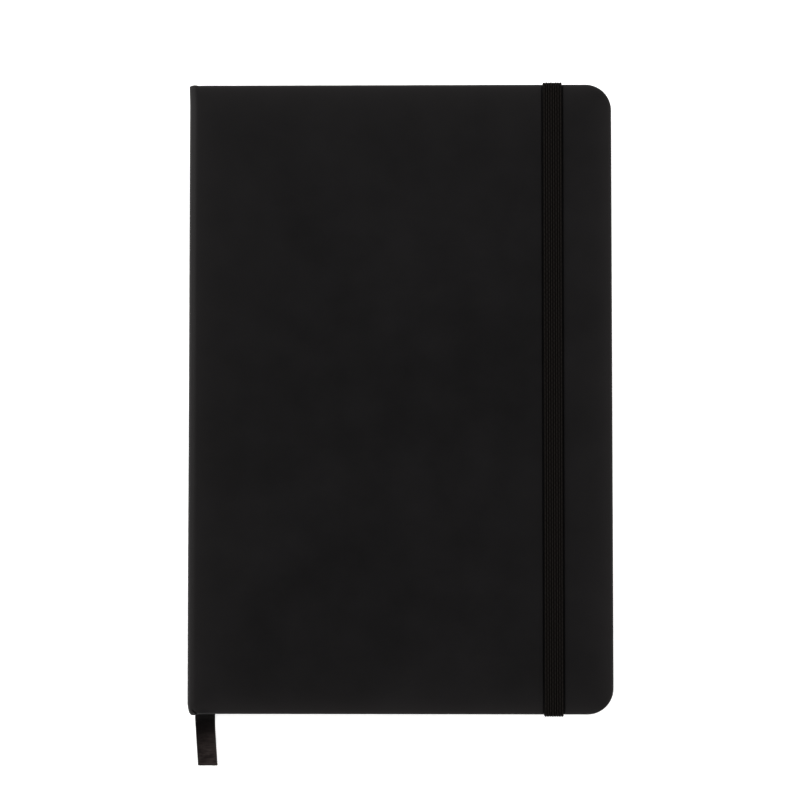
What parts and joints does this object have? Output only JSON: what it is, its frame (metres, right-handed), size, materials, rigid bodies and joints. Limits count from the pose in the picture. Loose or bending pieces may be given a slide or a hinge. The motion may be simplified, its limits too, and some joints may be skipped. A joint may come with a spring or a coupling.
{
  "type": "pocket notebook",
  "caption": "Hard-cover pocket notebook with square spine corners, rounded fore-edge corners, a ribbed elastic closure band and a ribbon marker; opens flat about its spine.",
  "frame": {"origin": "middle of the closed notebook's footprint, on the back cover's outer face", "axes": "+X from the spine to the fore-edge, +Y from the tail to the head, +Z from the back cover to the front cover"},
  "size_m": [0.095, 0.154, 0.015],
  "materials": {
    "cover_skin": "soft-touch leatherette, matt with a low sheen",
    "board": "raw greyboard",
    "pages": "uncoated, faintly ruled",
    "endpaper": "uncoated heavy paper",
    "gauze": "open weave stiffened with glue",
    "thread": "waxed thread",
    "elastic": "ribbed woven elastic",
    "ribbon": "woven ribbon with fine cross ribs"
  },
  "bodies": {
    "back_cover": {"back_board": "board", "back_cover_skin": "cover_skin", "back_joint_skin": "cover_skin", "back_pastedown": "endpaper", "back_flyleaf": "endpaper", "signature_07": "pages", "signature_08": "pages", "signature_09": "pages", "signature_10": "pages", "signature_11": "pages", "signature_12": "pages", "sewing_thread_back": "thread", "elastic_end_head": "elastic", "elastic_end_tail": "elastic"},
    "spine": {"spine_skin": "cover_skin", "spine_strip": "board", "spine_lining": "gauze", "ribbon_marker": "ribbon", "ribbon_glued_end": "ribbon"},
    "front_cover": {"front_board": "board", "front_cover_skin": "cover_skin", "front_joint_skin": "cover_skin", "front_pastedown": "endpaper", "front_flyleaf": "endpaper", "signature_01": "pages", "signature_02": "pages", "signature_03": "pages", "signature_04": "pages", "signature_05": "pages", "signature_06": "pages", "sewing_thread_front": "thread"},
    "rear_leaf": {"middle_leaf_rear": "pages"},
    "front_leaf": {"middle_leaf_front": "pages"},
    "elastic": {"elastic_band": "elastic"}
  },
  "joints": [
    {"name": "back_joint", "type": "hinge", "parent": "back_cover", "child": "spine", "pos_m": [-0.04707, 0, 0.00043], "axis": [0, -1, 0], "range_deg": [0, 90], "deforming": ["back_joint_skin"]},
    {"name": "front_joint", "type": "hinge", "parent": "spine", "child": "front_cover", "pos_m": [-0.04707, 0, 0.01407], "axis": [0, -1, 0], "range_deg": [0, 90], "deforming": ["front_joint_skin"]},
    {"name": "rear_leaf_turn", "type": "hinge", "parent": "spine", "child": "rear_leaf", "pos_m": [-0.04707, 0, 0.00043], "axis": [0, -1, 0], "range_deg": [-70, 0]},
    {"name": "front_leaf_turn", "type": "hinge", "parent": "spine", "child": "front_leaf", "pos_m": [-0.04707, 0, 0.01407], "axis": [0, -1, 0], "range_deg": [0, 81]},
    {"name": "elastic_flip", "type": "hinge", "parent": "back_cover", "child": "elastic", "pos_m": [0.034, 0, 0.00725], "axis": [0, 1, 0], "range_deg": [0, 180], "deforming": ["elastic_band"]}
  ],
  "couplings": [
    {"joint": "front_joint", "follows": "back_joint", "ratio": 1},
    {"joint": "rear_leaf_turn", "follows": "back_joint", "ratio": -0.7777},
    {"joint": "front_leaf_turn", "follows": "back_joint", "ratio": 0.9},
    {"joint": "elastic_flip", "follows": "back_joint", "ratio": 2}
  ]
}
